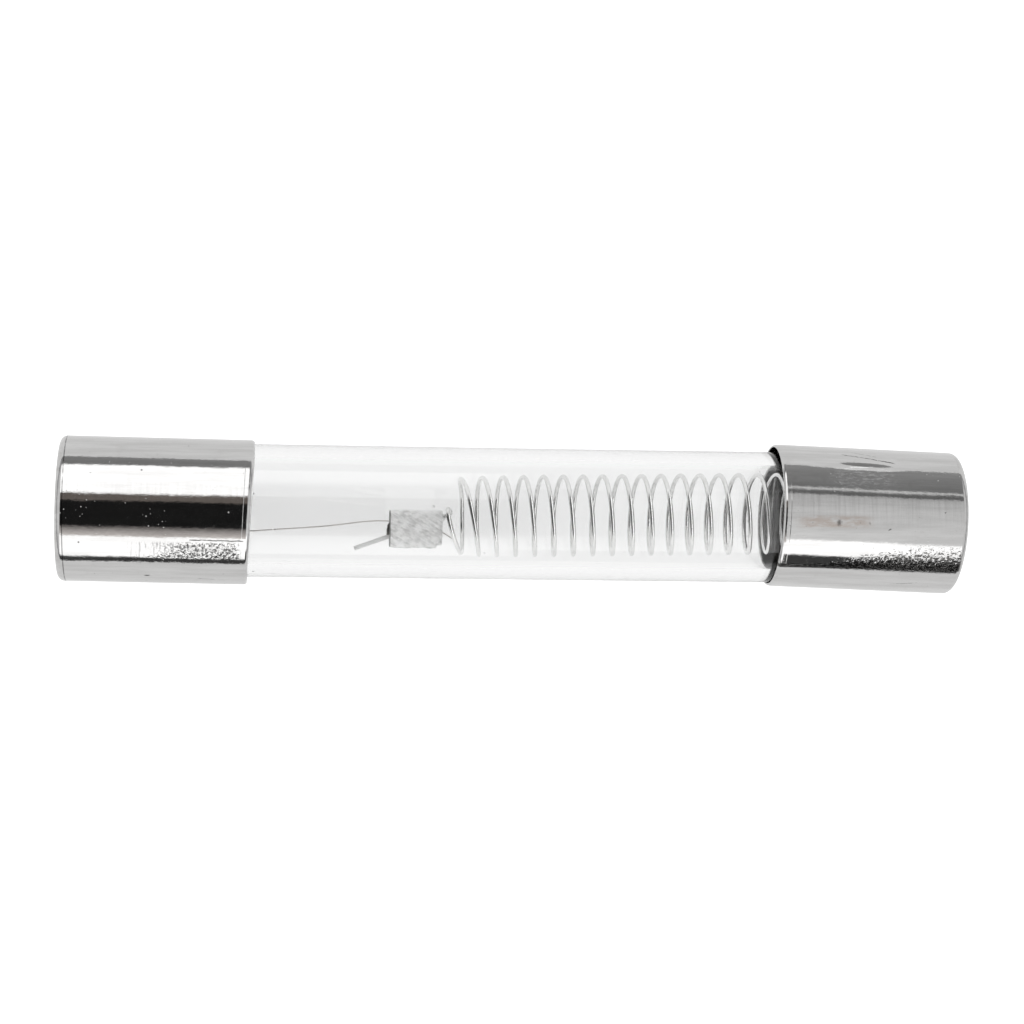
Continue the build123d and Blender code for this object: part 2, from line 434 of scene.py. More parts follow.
def make_cap(side, taper, surface):
    """A cap along its mount's axis, from the closed end to the mouth, with angle 0 at the top."""
    axis = -np.array(mounts[side + "_contact"]["axis"])
    end = np.array(mounts[side + "_end"]["pos_m"]) / MM
    cap = revolve(side + "_cap_plated", cap_profile(taper), end, axis, UP, CAP_COLUMNS, surface)
    install(cap, "root", side + "_cap")
    return cap


# Dents: distance from the closed end, angle, half length, half width, depth, slant.
# Angles turn from +Z towards -Y on the wire-side cap and towards +Y on the spring-side cap.
WIRE_CAP_DENTS = [
    (4.10, 1.09, 0.10, 0.07, 0.030, 0.3),
    (6.6, 1.20, 0.35, 0.06, 0.010, 0.1),
    (2.2, -0.35, 0.22, 0.16, 0.004, 0.0),
]
SPRING_CAP_DENTS = [
    (4.65, 0.825, 1.05, 0.16, 0.056, 0.03),
    (5.05, 0.99, 0.55, 0.12, -0.012, 0.0),
    (4.4, 0.70, 0.50, 0.10, 0.012, 0.1),
    (3.2, 1.04, 0.11, 0.08, 0.030, 0.0),
    (1.95, 1.10, 0.09, 0.07, 0.022, 0.0),
    (3.6, -1.02, 0.50, 0.06, 0.012, 0.10),
]
wire_cap = make_cap("wire_side", 0.10, cap_surface(11, WIRE_CAP_DENTS, trim=-0.11))
spring_cap = make_cap("spring_side", 0.18, cap_surface(23, SPRING_CAP_DENTS))


class Plating:
    """Bright nickel with orange peel, drawing lines and pits; each method adds a kind of wear, and the scratch
    method can also paint a highlight streak instead.

    Wear is placed by x and by the angle about X, which is 0 at the top and grows towards +Y.
    """
    def __init__(self, name, streaks):
        self.material, self.nodes, self.shader, self.place = material(name)
        self.x, y, z = self.nodes.split(self.place)
        self.angle = self.nodes.math("ARCTAN2", y, z)
        # the wall unrolled, x along it and y round it; the closed end keeps its own y and z
        self.end = abs(self.x).step(19.72, 19.80)
        self.side = 1.0 - self.end
        self.wall = self.nodes.combine(
            self.x, self.angle * CAP_RADIUS * self.side + y * self.end, z * self.end)
        self.from_axis = self.nodes.combine(self.nodes.math("SQRT", y * y + z * z))
        self.normal = None
        self.add_tone(streaks)
        self.add_relief()
        self.add_specks()

    def tint(self, amount, colour):
        self.colour = self.nodes.mix(amount, self.colour, colour)

    def emboss(self, height, strength, distance):
        self.normal = self.nodes.bump(height, strength, distance, self.normal)

    def add_tone(self, streaks):
        """Long soft tones, streaks across a band near the top, and warm blotches."""
        tone = self.wall.stretch(0.22, 2.6, 1.0).noise(scale=1.0, detail=5.0, rough=0.65)
        blotch = self.place.noise(scale=1.4, detail=4.0, rough=0.6)
        self.colour = self.nodes.mix(tone.step(0.28, 0.72),
                                     (0.540, 0.536, 0.531), (0.645, 0.642, 0.638))
        across = self.wall.stretch(5.0, 0.22, 1.0).noise(scale=1.4, detail=4.0, rough=0.65)
        band = self.angle.step(-0.25, 0.15) * (1.0 - self.angle.step(0.34, 0.42))
        self.tint(across.step(0.34, 0.72) * band * streaks, (0.33, 0.325, 0.32))
        self.tint(blotch.step(0.55, 0.75) * 0.25, (0.47, 0.46, 0.45))
        self.rough = self.place.noise(scale=2.2, detail=5.0, rough=0.7).times_plus(0.10, 0.02)

    def add_relief(self):
        """Orange peel, lines along and round the wall, and draw rings on the closed end."""
        peel = self.place.noise(scale=3.2, detail=5.0, rough=0.56)
        self.emboss(peel, strength=0.34, distance=0.012)
        lengthwise = self.wall.stretch(0.5, 7.0, 1.0).noise(scale=2.2, detail=4.0, rough=0.65)
        self.emboss(lengthwise, strength=0.14, distance=0.005)
        round_wall = self.wall.stretch(9.0, 0.6, 1.0).noise(scale=2.0, detail=3.0, rough=0.6)
        self.emboss(round_wall, strength=0.12, distance=0.005)
        rings = self.from_axis.stretch(7.0, 1.0, 1.0).noise(scale=1.0, detail=4.0, rough=0.6)
        self.emboss(rings, strength=self.end * 0.7, distance=0.012)
        handled = self.place.stretch(1.0, 1.6, 0.5).noise(
            scale=1.3, detail=5.0, rough=0.7, distortion=0.8).step(0.50, 0.66)
        self.tint(handled * self.end * 0.35, (0.40, 0.385, 0.365))

    def add_specks(self):
        """Small raised grains in drifts, and fewer dark pits."""
        grain = self.place.dots(scale=5.2, core=0.02, rim=0.15)
        drift = self.place.noise(scale=1.1, detail=3.0, rough=0.6).step(0.50, 0.66)
        self.emboss(grain * drift, strength=0.8, distance=0.008)
        pit = self.place.stretch(1.0, 1.0, 1.0).dots(scale=1.15, core=0.02, rim=0.055)
        self.emboss(pit, strength=0.8, distance=-0.02)
        self.tint(pit * 0.6, (0.05, 0.048, 0.045))

    def add_ring(self, at, half, mark_tone):
        """A broken dark line round the wall, where the corner was turned."""
        ring = 1.0 - abs(self.x - at).step(half * 0.5, half)
        breaks = self.place.noise(scale=2.0, detail=3.0, rough=0.6).step(0.25, 0.45)
        self.tint(ring * breaks * mark_tone, 0.03)

    def add_patch(self, x0, x1, angle0, angle1):
        """A rubbed, dark-specked patch, with comb marks at its x0 end."""
        edge = self.wall.noise(scale=3.0, detail=4.0, rough=0.7).times_plus(0.9, -0.45)
        lengthwise = ((self.x + edge).step(x0, x0 + 2.1)
                      * (1.0 - self.x.step(x1 - 0.12, x1 + 0.12)))
        around = edge.times_plus(0.05, self.angle).window(angle0, angle1, soft=0.025)
        area = lengthwise * around
        rub = self.wall.noise(scale=6.5, detail=1.5, rough=0.6, distortion=0.4)
        self.emboss(rub, strength=area * 1.0, distance=0.045)
        specks = self.wall.noise(scale=7.5, detail=2.0, rough=0.6, distortion=0.3)
        self.tint(area * specks.step(0.49, 0.57) * 0.88, 0.07)
        comb = self.wall.stretch(6.0, 0.8, 1.0).noise(scale=1.4, detail=2.0, rough=0.6)
        early = self.x.window(x0 - 0.3, x0 + 1.6, soft=0.35) * around
        self.tint(comb.step(0.52, 0.66) * early * 0.55, 0.20)

    def add_feather(self, x0, x1, low, high0, high1):
        """Wear upwards from the angle low: solid along its edge, breaking into flecks above.

        Its top rises from the angle high0 at x0 to high1 at x1.
        """
        rise = self.x.step(x0, x1)
        high = rise.times_plus(high1 - high0, high0)
        stroke = self.wall.stretch(5.5, 0.8, 1.0).noise(scale=1.3, detail=4.0, rough=0.7)
        high = high + stroke.times_plus(0.30, -0.15)
        # depth is 0 at the edge and 1 at the top of the wear
        depth = self.nodes.math("DIVIDE", self.angle - low, high - low, clamp=True)
        above = self.angle.step(low - 0.015, low + 0.015) * self.side
        fleck = self.wall.noise(scale=7.5, detail=3.0, rough=0.7)
        cut = (depth ** 0.75).times_plus(0.42, 0.22)
        worn = (fleck - cut).step(-0.03, 0.03) * above * (1.0 - depth.step(0.90, 1.0))
        self.tint(worn * 0.90, (0.045, 0.043, 0.041))
        grit = above * (1.0 - depth.step(0.80, 1.0)) * rise.times_plus(0.60, 0.40)
        self.emboss(self.wall.noise(scale=6.0, detail=2.0, rough=0.7),
                    strength=grit * 0.9, distance=0.03)

    def add_polish(self, x0, x1, angle0, angle1):
        """Bright rubbed strokes."""
        area = self.x.window(x0, x1, soft=0.5) * self.angle.window(angle0, angle1, soft=0.05)
        worn = self.wall.stretch(1.0, 2.6, 1.0).noise(
            scale=3.2, detail=5.0, rough=0.75, distortion=0.4).step(0.46, 0.64)
        self.tint(area * worn * 0.75, 0.98)

    def add_stain(self, x0, x1, angle0, angle1, spot_at):
        """A brown stain, and a dark spot at spot_at on the unrolled wall."""
        area = self.x.window(x0, x1, soft=0.5) * self.angle.window(angle0, angle1, soft=0.03)
        cloud = self.wall.stretch(0.8, 2.4, 1.0).noise(scale=1.5, detail=3.0, rough=0.6)
        self.tint(area * cloud.step(0.30, 0.62) * 0.80, (0.455, 0.395, 0.355))
        distance = self.nodes.signal("ShaderNodeVectorMath", {0: self.wall, 1: spot_at},
                                     "Value", operation="DISTANCE")
        ragged = self.wall.noise(scale=7.0, detail=3.0, rough=0.7).times_plus(0.22, distance)
        self.tint((1.0 - ragged.step(0.12, 0.30)) * 0.8, (0.07, 0.065, 0.06))

    def add_scratch_and_highlight(self, x0, angle0, x1, angle1, half, depth, mark_tone):
        """A broken line between two places; a negative mark tone paints it as a bright highlight instead of a dark
        mark.
        """
        y0, y1 = angle0 * CAP_RADIUS, angle1 * CAP_RADIUS
        length = math.hypot(x1 - x0, y1 - y0)
        ux, uy = (x1 - x0) / length, (y1 - y0) / length
        dx, dy = self.x - x0, self.angle * CAP_RADIUS - y0
        along = dx * ux + dy * uy
        wander = self.wall.noise(scale=4.0, detail=2.0, rough=0.6).times_plus(0.08, -0.04)
        across = abs(dx * -uy + dy * ux + wander)
        line = (1.0 - across.step(half * 0.4, half)) * along.window(0.0, length, soft=0.08)
        line = line * self.wall.noise(scale=5.0, detail=3.0, rough=0.7).step(0.34, 0.50)
        if depth:
            self.emboss(line, strength=1.0, distance=-depth)
        # a positive mark tone paints a dark line, a negative one a painted highlight
        self.tint(line * abs(mark_tone), (0.05, 0.048, 0.045) if mark_tone >= 0 else 0.98)

    def finish(self):
        self.nodes.fill(self.shader, {"Base Color": self.colour, "Metallic": 1.0,
                                      "Roughness": self.rough, "Normal": self.normal})
        return self.material


# Scratches, and on the spring-side cap painted highlight streaks: x and angle of one end, x and angle of the
# other, half width, depth, mark tone (negative for a painted highlight).
WIRE_CAP_SCRATCHES = [
    (-16.2, -1.10, -16.0, -1.10, 0.07, 0.0, 0.9),
    (-13.9, -1.17, -13.2, -1.19, 0.035, 0.0, 0.6),
    (-14.2, -0.415, -12.0, -0.425, 0.030, 0.03, 0.8),
]
SPRING_CAP_SCRATCHES_AND_HIGHLIGHTS = [
    (14.60, 1.085, 16.85, 0.905, 0.035, 0.03, 0.85),
    (15.10, 1.17, 16.1, 1.06, 0.030, 0.0, 0.5),
    # the next three rows, with negative mark tone, are painted highlight streaks, not scratches
    (14.80, 0.800, 15.9, 0.825, 0.060, 0.0, -0.85),
    (14.3, 0.700, 15.2, 0.693, 0.030, 0.0, -0.30),
    (14.9, 0.655, 15.9, 0.640, 0.040, 0.0, -0.35),
    (15.48, -0.06, 15.50, -0.075, 0.05, 0.0, 0.9),
    (16.35, -0.16, 16.45, -0.14, 0.04, 0.0, 0.9),
    (16.9, -1.10, 18.0, -1.04, 0.035, 0.0, 0.5),
]


def wire_side_plating():
    plating = Plating("nickel_wire_side", streaks=0.15)
    plating.add_ring(at=-19.67, half=0.032, mark_tone=0.65)
    plating.add_patch(x0=-16.4, x1=-12.15, angle0=-0.70, angle1=-0.46)
    for scratch in WIRE_CAP_SCRATCHES:
        plating.add_scratch_and_highlight(*scratch)
    return plating.finish()


def spring_side_plating():
    plating = Plating("nickel_spring_side", streaks=0.30)
    plating.add_feather(x0=12.9, x1=17.6, low=-0.775, high0=-0.66, high1=-0.37)
    plating.add_polish(x0=14.0, x1=16.7, angle0=0.44, angle1=0.77)
    plating.add_stain(x0=12.4, x1=15.4, angle0=-0.13, angle1=0.03, spot_at=(14.12, -0.20, 0))
    for scratch in SPRING_CAP_SCRATCHES_AND_HIGHLIGHTS:
        plating.add_scratch_and_highlight(*scratch)
    return plating.finish()


wire_plating = wire_side_plating()
spring_plating = spring_side_plating()
set_material(wire_cap, wire_plating)
set_material(spring_cap, spring_plating)

# ------------------------------------------------------------------ glass tube
tube_lo, tube_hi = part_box("glass_tube")
TUBE_RADIUS = (tube_hi.z - tube_lo.z) / 2 / MM
BORE_RADIUS = 2.35
TUBE_EDGE = 0.12       # rounding of the tube's edges


def tube_section():
    """(x, radius) round the wall: outside, +X end, bore, -X end."""
    left, right = tube_lo.x / MM + TUBE_EDGE, tube_hi.x / MM - TUBE_EDGE
    outer, inner = TUBE_RADIUS - TUBE_EDGE, BORE_RADIUS + TUBE_EDGE
    section = [(x, TUBE_RADIUS) for x in np.linspace(left, right, 120)]
    section += arc(right, outer, TUBE_EDGE, QUARTER, 0, 6)[1:]
    section += arc(right, inner, TUBE_EDGE, 0, -QUARTER, 6)
    section += [(x, BORE_RADIUS) for x in np.linspace(right, left, 120)[1:]]
    section += arc(left, inner, TUBE_EDGE, -QUARTER, -math.pi, 6)[1:]
    section += arc(left, outer, TUBE_EDGE, math.pi, QUARTER, 6)[:-1]
    return section


def glass_waves(along, radius, turn):
    """Slight waves, stronger in the bore."""
    ripple = waves(41, along, turn, amount=0.0012, along_rate=0.35, most_lobes=3)
    return along, radius + ripple * np.where(radius > 2.6, 1.0, 1.6)


def drawn_glass():
    """Clear glass with smears, draw lines, fine hairs and a few specks."""
    mat, nodes, shader, place = material("drawn_glass")
    smear = place.stretch(0.35, 1.0, 1.0).noise(scale=1.2, detail=5.0, rough=0.65)
    draw = place.stretch(0.05, 1.6, 1.6).noise(scale=1.5, detail=2.0, rough=0.5)
    speck = place.dots(scale=0.62, core=0.015, rim=0.035)
    hair = place.stretch(0.5, 6.0, 6.0).noise(scale=2.5, detail=3.0, rough=0.7)
    normal = nodes.bump(draw, strength=0.10, distance=0.010)
    normal = nodes.bump(hair.step(0.66, 0.72), strength=0.15, distance=0.004, normal=normal)
    nodes.fill(shader, {
        "Base Color": (0.995, 0.997, 0.996),
        "Transmission Weight": 1.0,
        "IOR": 1.50,
        "Specular IOR Level": 0.30,
        "Roughness": smear.step(0.55, 0.80) * 0.03,
        "Normal": nodes.bump(speck, strength=0.8, distance=0.03, normal=normal),
    })
    return mat


tube = revolve("glass_tube_drawn", tube_section(), (0, 0, 0), (1, 0, 0), UP, 240,
               glass_waves, poles=False)
install(tube, "root", "glass_tube")
set_material(tube, drawn_glass())

# ------------------------------------------------------------------ tension spring
SPRING_WIRE_RADIUS = 0.20 / 2
COIL_RADIUS = 3.50 / 2
COIL_PITCH = 0.8776
COIL_TURNS = 24.40
COIL_START_X = -3.0376
COIL_DRIFT = 0.0227        # rise of the coil's axis in y per millimetre of x
COIL_Y, COIL_MAX_Y = -0.097, 0.18
COIL_LEAN, FIRST_TURN_LEAN = 0.030, 0.270
FIRST_TURN_SHRINK = 0.12
STATIONS_PER_TURN = 12
SPRING_ANCHOR_X = 17.70    # end that stays put when the splice lets go
TAIL_END = np.array([-7.141, -1.656, 0.0])
TAIL_JOINT = np.array([-3.000, -0.132, 0.0])
# x, y, z of the hook between the tail and the first full turn
HOOK = [
    (-2.865, -0.020, 0.42), (-2.925, 0.110, 0.95), (-3.040, 0.120, 1.46),
    (-2.985, -0.300, 1.665), (-2.770, -0.985, 1.400), (-2.500, -1.560, 0.820),
    (-2.317, -1.765, 0.000), (-2.190, -1.400, -1.150), (-2.160, -0.150, -1.670),
    (-2.260, 1.050, -1.180),
]


def coil_point(turns):
    angle = 2 * math.pi * turns
    mean_x = COIL_START_X + COIL_PITCH * turns
    y = min(COIL_DRIFT * mean_x + COIL_Y, COIL_MAX_Y)
    radius = COIL_RADIUS - FIRST_TURN_SHRINK * math.exp(0.5 - turns)
    lean = COIL_LEAN + FIRST_TURN_LEAN * math.exp((0.5 - turns) / 2)
    return [mean_x - lean * math.cos(angle), y + radius * math.cos(angle),
            radius * math.sin(angle)]


def spring_path():
    steps = int(round((COIL_TURNS - 1) * STATIONS_PER_TURN))
    coil = [coil_point(1 + (COIL_TURNS - 1) * i / steps) for i in range(steps + 1)]
    return spline([TAIL_JOINT, *HOOK, *coil], start=(0.62, 0.25, 0.74),
                  end=np.subtract(coil[-1], coil[-2]), per_mm=5.5)


def wire_sweep(name, radius, mat, columns=18):
    """Sweeps a round wire along a mesh's edges, so it stays round however its path is moved."""
    tree = bpy.data.node_groups.new(name, "GeometryNodeTree")
    for in_out in ("INPUT", "OUTPUT"):
        tree.interface.new_socket("Geometry", in_out=in_out, socket_type="NodeSocketGeometry")
    kinds = ("NodeGroupInput", "NodeGroupOutput", "GeometryNodeMeshToCurve",
             "GeometryNodeCurvePrimitiveCircle", "GeometryNodeCurveToMesh",
             "GeometryNodeSetShadeSmooth", "GeometryNodeSetMaterial")
    source, result, curve, circle, sweep, smooth, paint = (tree.nodes.new(k) for k in kinds)
    circle.inputs["Resolution"].default_value = columns
    circle.inputs["Radius"].default_value = radius
    sweep.inputs["Fill Caps"].default_value = True
    paint.inputs["Material"].default_value = mat
    tree.links.new(circle.outputs[0], sweep.inputs["Profile Curve"])
    chain = (source, curve, sweep, smooth, paint, result)
    for before, after in zip(chain, chain[1:]):
        tree.links.new(before.outputs[0], after.inputs[0])
    return tree


spine = spring_path()
spring = new_object("tension_spring_wire", spine, [], smooth=False,
                    edges=[(i, i + 1) for i in range(len(spine) - 1)])
spring_metal = metal("spring_wire_metal", light=(0.84, 0.84, 0.835), dark=(0.66, 0.66, 0.655),
                     rough=0.08, rough_range=0.10, scale=1.6, strength=0.25, relief=0.006)
tail_metal = metal("spring_tail_metal", light=(0.78, 0.78, 0.775), dark=(0.62, 0.62, 0.615),
                   rough=0.45, rough_range=0.12, scale=3.0, strength=0.4, relief=0.010,
                   metallic=0.35)
spring.data.materials.append(spring_metal)
modifier = spring.modifiers.new("round_wire", "NODES")
modifier.node_group = wire_sweep("round_wire", SPRING_WIRE_RADIUS * MM, spring_metal)
install(spring, "root", "tension_spring")
release = next(joint for joint in frame["joints"] if joint["name"] == "splice_release")
anchor_x = SPRING_ANCHOR_X * MM
keep = 1 - release["range_m"][1] / (anchor_x - TAIL_JOINT[0] * MM)
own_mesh(spring)

tail_run = TAIL_JOINT - TAIL_END
tail_path = TAIL_END + tail_run * np.linspace(0, 1, 60)[:, None]
tail_path[0] += tail_run * 0.02     # sets the first station just past the second
tail = wire_mesh("spring_tail_wire", tail_path, SPRING_WIRE_RADIUS, 24, round_start=True)
set_material(tail, tail_metal)
install(tail, "splice", "spring_tail")

# ------------------------------------------------------------------ fuse wire
sleeve_lo, sleeve_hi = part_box("splice_sleeve")
SLEEVE_X = sleeve_lo.x / MM                          # the sleeve's end towards -X
SLEEVE_Y = (sleeve_lo.y + sleeve_hi.y) / 2 / MM
FUSE_WIRE_RADIUS = 0.06 / 2
# where the wire parts, and its heading there
MELT_POINT = (-10.60, -0.822, 0.080)
MELT_HEADING = (1.0, 0.0845, 0.0105)

fixed_path = spline([(-19.35, -1.535, 0.0), (-15.0, -1.185, 0.036), MELT_POINT],
                    start=(1.0, 0.080, 0.008), end=MELT_HEADING, per_mm=8)
free_path = spline(
    [MELT_POINT, (-7.94, -0.597, 0.108), (SLEEVE_X, -0.392, 0.135),
     (SLEEVE_X + 1.15, -0.560, 0.135), (SLEEVE_X + 2.35, -0.860, 0.135), (-2.73, -1.140, 0.20)],
    start=MELT_HEADING, end=(0.80, -0.58, 0.12), per_mm=14)
fuse_metal = metal("fuse_wire_metal", light=(0.80, 0.78, 0.76), dark=(0.62, 0.60, 0.585),
                   rough=0.30, rough_range=0.12, scale=3.0, strength=0.2, relief=0.003)
for part, path, body in (("fixed", fixed_path, "root"), ("free", free_path, "splice")):
    wire = wire_mesh(f"fuse_wire_{part}_part", path, FUSE_WIRE_RADIUS, 14)
    set_material(wire, fuse_metal)
    install(wire, body, f"fuse_wire_{part}")

# ------------------------------------------------------------------ splice sleeve
SLEEVE_WIDTH = 1.71
SLEEVE_HEIGHT = 0.62
SLEEVE_WALL = 0.12
SLEEVE_LENGTH = 2.35
SLEEVE_COLUMNS, SLEEVE_ROWS = 120, 64


def racetrack(width, height, count):
    """Points evenly round a flattened tube's section, as (y, z)."""
    radius = height / 2
    straight = width - height
    half_turn = math.pi * radius
    points = []
    for i in range(count):
        run = (i / count) * (2 * straight + 2 * half_turn)
        if run < straight:
            points.append((-straight / 2 + run, radius))
        elif run < straight + half_turn:
            a = (run - straight) / radius
            points.append((straight / 2 + radius * math.sin(a), radius * math.cos(a)))
        elif run < 2 * straight + half_turn:
            points.append((straight / 2 - (run - straight - half_turn), -radius))
        else:
            a = (run - 2 * straight - half_turn) / radius
            points.append((-straight / 2 - radius * math.sin(a), -radius * math.cos(a)))
    return np.array(points)


def crimp(x, y, z, amount):
    """The flats sink between the two wires and stand up over the tail; the edges waver."""
    tail_y = TAIL_END[1] + (x - TAIL_END[0]) * tail_run[1] / tail_run[0]
    over_tail = np.exp(-(((y - tail_y) / 0.17) ** 2))
    flat = np.clip(1 - (abs(y - SLEEVE_Y) / 0.80) ** 6, 0, 1)
    lift = (0.040 * over_tail - 0.035 + 0.010 * np.sin(3.1 * x + 5.0 * y)
            + 0.005 * np.sin(7.7 * x - 5.3 * y + 1.0) + 0.003 * np.sin(17.0 * x + 9.0 * y))
    z = z + np.sign(z) * flat * lift * amount
    edge_wave = 0.012 * np.sin(5.0 * x + 0.7) + 0.008 * np.sin(13.0 * x)
    y = y + np.where(y > SLEEVE_Y, 1, -1) * edge_wave * amount
    # the -Y corner of the +X end is cut back
    near_end = np.clip(((x - SLEEVE_X) / SLEEVE_LENGTH - 0.80) / 0.20, 0, 1)
    x = x - 0.30 * near_end ** 2 * np.clip((SLEEVE_Y - 0.35 - y) / 0.5, 0, 1)
    return x, y, z


def sleeve_points():
    """Rings out along the outside, with eased ends, and back along the bore."""
    outside = racetrack(SLEEVE_WIDTH, SLEEVE_HEIGHT, SLEEVE_COLUMNS)
    bore = racetrack(SLEEVE_WIDTH - 2 * SLEEVE_WALL, SLEEVE_HEIGHT - 2 * SLEEVE_WALL,
                     SLEEVE_COLUMNS)
    rings = []      # share of the length, section, strength of the crimp
    for u in np.linspace(0, 1, SLEEVE_ROWS):
        ease = 0.5 * (1 - math.cos(math.pi * min(1, min(u, 1 - u) * 28)))
        shrink = 2 * 0.03 * (1 - ease)
        size = [(SLEEVE_WIDTH - shrink) / SLEEVE_WIDTH, (SLEEVE_HEIGHT - shrink) / SLEEVE_HEIGHT]
        rings.append((u, outside * size, 1.0))
    rings += [(u, bore, 0.6) for u in np.linspace(1, 0, SLEEVE_ROWS)]
    return np.vstack([
        np.stack(crimp(np.full(SLEEVE_COLUMNS, SLEEVE_X + u * SLEEVE_LENGTH),
                       SLEEVE_Y + section[:, 0], section[:, 1], amount), 1)
        for u, section, amount in rings])


def tinned_sleeve():
    """Mottled tin with slanting scratches and folds, painted shade and highlights on its ridges and folds, a
    painted highlight along the +Y edge and painted shade at the -X end and along the -Y edge.
    """
    mat, nodes, shader, place = material("tinned_sleeve_metal")
    slanted = nodes.signal("ShaderNodeMapping",
                           {"Vector": place, "Rotation": (0, 0, math.radians(28))})
    scratch = slanted.stretch(1.0, 4.0, 1.0).noise(
        scale=3.0, detail=4.0, rough=0.65, distortion=0.5)
    mottle = place.noise(scale=4.0, detail=5.0, rough=0.65)
    ridge_tone_and_shade = mottle.times_plus(0.5, scratch * 0.5).step(0.36, 0.62)
    # the ridge tone is partly the tin's own mottling and partly painted shade and light on the scratch ridges
    colour = nodes.mix(ridge_tone_and_shade, (0.60, 0.60, 0.595), (0.93, 0.93, 0.925))
    fold_highlight = slanted.stretch(0.5, 2.2, 1.0).noise(scale=2.0, detail=3.0, rough=0.6)
    # painted highlights along the folds
    colour = nodes.mix(fold_highlight.step(0.52, 0.64) * 0.6, colour, 1.0)
    x, y, _ = nodes.split(place)
    # painted highlight along the +Y edge; painted shade at the open -X end and along the -Y edge
    edge_highlight = (y + mottle * 0.08).step(SLEEVE_Y + 0.83, SLEEVE_Y + 0.87)
    colour = nodes.mix(edge_highlight, colour, 1.0)
    mouth_shade = 1.0 - (x + mottle * 0.03).step(SLEEVE_X + 0.045, SLEEVE_X + 0.075)
    low_edge_shade = 1.0 - (y + mottle * 0.06).step(SLEEVE_Y - 0.82, SLEEVE_Y - 0.78)
    # dark is the painted shade of the -X end and the -Y edge
    dark = nodes.math("MAXIMUM", mouth_shade * 0.80, low_edge_shade * 0.45)
    fine = slanted.stretch(2.0, 9.0, 2.0).noise(scale=4.0, detail=4.0, rough=0.7)
    normal = nodes.bump(mottle, strength=0.6, distance=0.030)
    normal = nodes.bump(scratch, strength=0.8, distance=0.035, normal=normal)
    nodes.fill(shader, {
        "Base Color": nodes.mix(dark, colour, (0.16, 0.16, 0.155)),
        "Metallic": 0.22,
        "Roughness": mottle.times_plus(0.20, 0.30),
        "Normal": nodes.bump(fine, strength=0.6, distance=0.012, normal=normal),
    })
    return mat


sleeve = solid("splice_sleeve_crimped", sleeve_points(),
               ring_faces(2 * SLEEVE_ROWS, SLEEVE_COLUMNS, wrap_rows=True))
set_material(sleeve, tinned_sleeve())
install(sleeve, "splice", "splice_sleeve")

# ------------------------------------------------------------------ solder and cement
LUMP_HALF_LENGTH = 0.30


def lump_shape(along, radius, turn):
    share = along / LUMP_HALF_LENGTH
    return along, radius * (0.070 + 0.018 * np.sin(3 * turn + 9 * share)
                            + 0.014 * np.sin(14 * share))


# a dark lump across the sleeve's -X end
lump_profile = [(-LUMP_HALF_LENGTH * math.cos(a), math.sin(a))
                for a in np.linspace(0, math.pi, 15)]
entry = revolve("splice_solder_entry", lump_profile, (SLEEVE_X - 0.045, -0.775, 0.03),
                (0.10, 0.995, 0), UP, 28, lump_shape)


def cap_cement():
    mat, nodes, shader, place = material("cap_cement")
    tone = place.noise(scale=4.0, detail=5.0, rough=0.7)
    gloss = place.noise(scale=9.0, detail=4.0, rough=0.6)
    grain = place.noise(scale=18.0, detail=4.0, rough=0.7)
    nodes.fill(shader, {
        "Base Color": nodes.mix(tone, (0.62, 0.58, 0.50), (0.84, 0.81, 0.74)),
        "Roughness": gloss.times_plus(0.2, 0.72),
        "Normal": nodes.bump(grain, strength=0.6, distance=0.03),
    })
    return mat


# the solder and the cement keep their CAD shapes
solder = metal("tin_solder", light=(0.82, 0.82, 0.81), dark=(0.60, 0.60, 0.60),
               rough=0.18, rough_range=0.22, scale=3.5, strength=0.5, relief=0.02)
for name in ("splice_solder", "wire_side_solder", "spring_side_solder"):
    set_material(frame["nodes"][name], solder)
dark_lump_metal = metal("fluxed_solder", light=(0.50, 0.49, 0.47), dark=(0.12, 0.115, 0.11),
             rough=0.25, rough_range=0.2, scale=6.0, strength=0.7, relief=0.03)
set_material(entry, dark_lump_metal)
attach(entry, "splice")
cement = cap_cement()
for name in ("wire_side_cement", "spring_side_cement"):
    set_material(frame["nodes"][name], cement)

# ------------------------------------------------------------------ floor
FLOOR_Z = -(CAP_RADIUS + 0.02)
FLOOR_HALF = 900
floor = new_object(
    "floor",
    [(x * FLOOR_HALF, y * FLOOR_HALF, FLOOR_Z) for x, y in ((-1, -1), (1, -1), (1, 1), (-1, 1))],
    [(0, 1, 2, 3)], smooth=False)


def pale_floor():
    """A matte floor with a glow that is stronger to the camera and through the glass."""
    mat = bpy.data.materials.new("pale_floor")
    mat.use_nodes = True
    nodes = Nodes(mat.node_tree)
    out = nodes.add("ShaderNodeOutputMaterial")
    path = nodes.add("ShaderNodeLightPath")
    through_glass = nodes.output(path, "Is Transmission Ray").times_plus(0.09, 0.69)
    strength = nodes.output(path, "Is Camera Ray").times_plus(0.45, through_glass)
    glow = nodes.signal("ShaderNodeEmission", {"Strength": strength})
    matte = nodes.signal("ShaderNodeBsdfDiffuse", {"Color": 0.16})
    nodes.fill(out, {"Surface": nodes.signal("ShaderNodeAddShader", {0: glow, 1: matte})})
    return mat


floor.data.materials.append(pale_floor())

